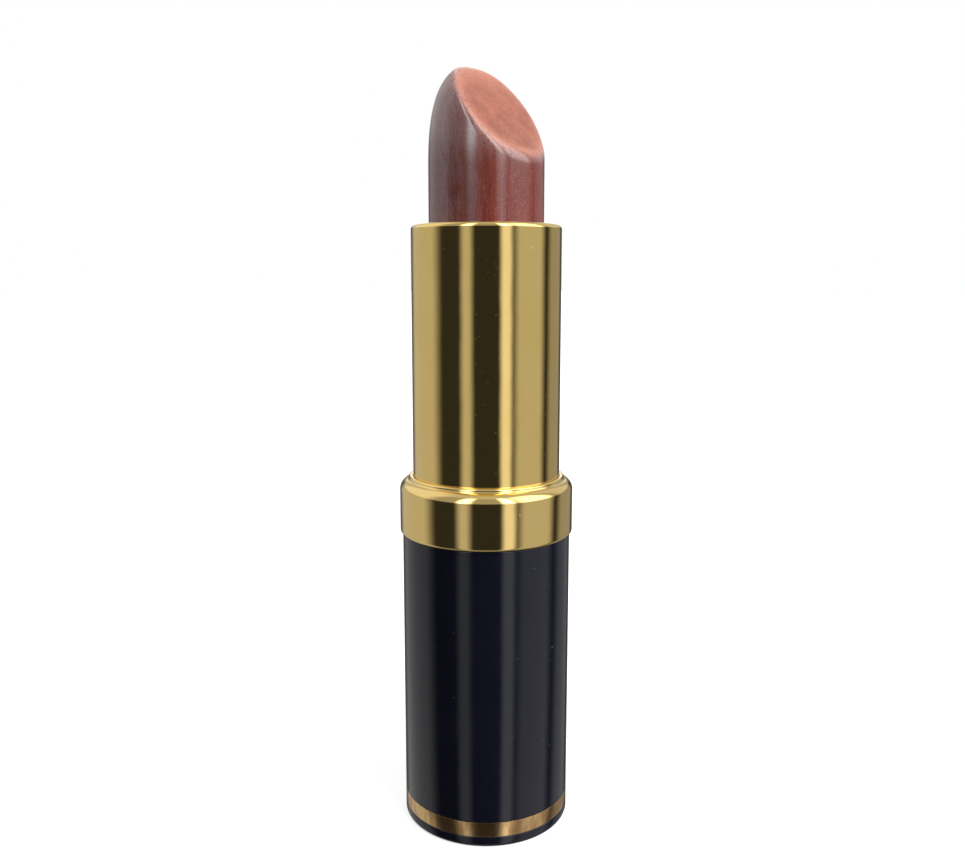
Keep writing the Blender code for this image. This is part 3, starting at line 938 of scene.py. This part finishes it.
def make_floor():
    """Pale table top, so wide that its edge is lost in the white beyond. It glows, so that it comes out
    white, and is hidden from gloss and diffuse rays, so the glow neither lights the case nor is mirrored."""
    outline = line((0.0, -0.02), (FLOOR_R, -0.02), (0.0, -1.0))
    floor = piece("floor", turned(outline, sides=64, closed=False))
    tree, place = finish_tree("pale_floor")
    cloud = tree.grain(place, 40.0, 3.0)
    colour = tree.mix(cloud, (0.62, 0.62, 0.615), (0.58, 0.58, 0.575))
    glowing = tree.shade(
        base_color=colour,
        roughness=0.7 + cloud * 0.1,
        emission_color=WHITE,
        emission_strength=FLOOR_GLOW,
    )
    floor.data.materials.append(glowing)
    floor.visible_glossy = False
    floor.visible_diffuse = False


def make_sun(name, azimuth, height, spread, strength, colour):
    """Soft light from one side, as from a large distant panel. Azimuth runs from the camera's side to +X.
    The gloss doesn't mirror it."""
    lamp = bpy.data.lights.new(name, "SUN")
    lamp.energy = strength
    lamp.angle = math.radians(spread)
    lamp.color = colour
    sun = bpy.data.objects.new(name, lamp)
    sun.rotation_euler = (math.radians(90.0 - height), 0.0, math.radians(azimuth))
    sun.visible_glossy = False
    bpy.context.scene.collection.objects.link(sun)


def make_camera():
    """Just above the sleeve's foot, looking slightly down."""
    lens = bpy.data.cameras.new("camera")
    lens.lens = LENS_LENGTH
    lens.sensor_width = SENSOR_WIDTH
    lens.clip_start = 0.001
    camera = bpy.data.objects.new("camera", lens)
    camera.location = [length * MM for length in CAMERA_PLACE]
    camera.rotation_euler = (math.radians(90.0 - CAMERA_TILT), 0.0, 0.0)
    bpy.context.scene.collection.objects.link(camera)
    bpy.context.scene.camera = camera
    bpy.context.scene.view_settings.view_transform = "Standard"


# ---------------------------------------------------------------- assembly


def fit(made, finish, body, node):
    """A piece takes its finish and its body, and the CAD node that it stands for is hidden."""
    made.data.materials.append(finish)
    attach(made, body)
    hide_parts(node)


make_camera()
navy = gloss_plastic()
white = moulded_plastic()
sleeve_gold = polished_gold("sleeve_gold", (0.92, 0.68, 0.25), (0.88, 0.62, 0.21), 0.05)
collar_gold = polished_gold("collar_gold", (0.92, 0.68, 0.26), (0.88, 0.62, 0.22), 0.05)
fit(make_foot(), navy, "base", "base_foot")
fit(make_label(), label_film(), "base", "shade_label")
fit(make_band(), band_metal(), "base", "base_band")
fit(make_shell(), navy, "base", "base_shell")
fit(make_collar(), collar_gold, "base", "collar")
fit(make_liner(), white, "base", "base_liner")
fit(make_weight(), turned_steel(), "base", "base_weight")
fit(make_inner_body(), white, "base", "inner_body")
fit(make_drag_ring(), soft_silicone(), "base", "drag_ring")
fit(make_sleeve(), sleeve_gold, "sleeve", "upper_sleeve")
fit(make_cam(), white, "sleeve", "cam_sleeve")
fit(make_cup(), white, "carrier", "carrier_cup")
fit(make_bullet(), pearl_wax(), "carrier", "lipstick_bullet")
make_floor()
make_world()
make_sun("key_panel", 56.0, 42.0, 50.0, 3.4, (1.0, 0.96, 0.9))
make_sun("back_panel", -160.0, 30.0, 70.0, 0.6, (0.95, 0.97, 1.0))
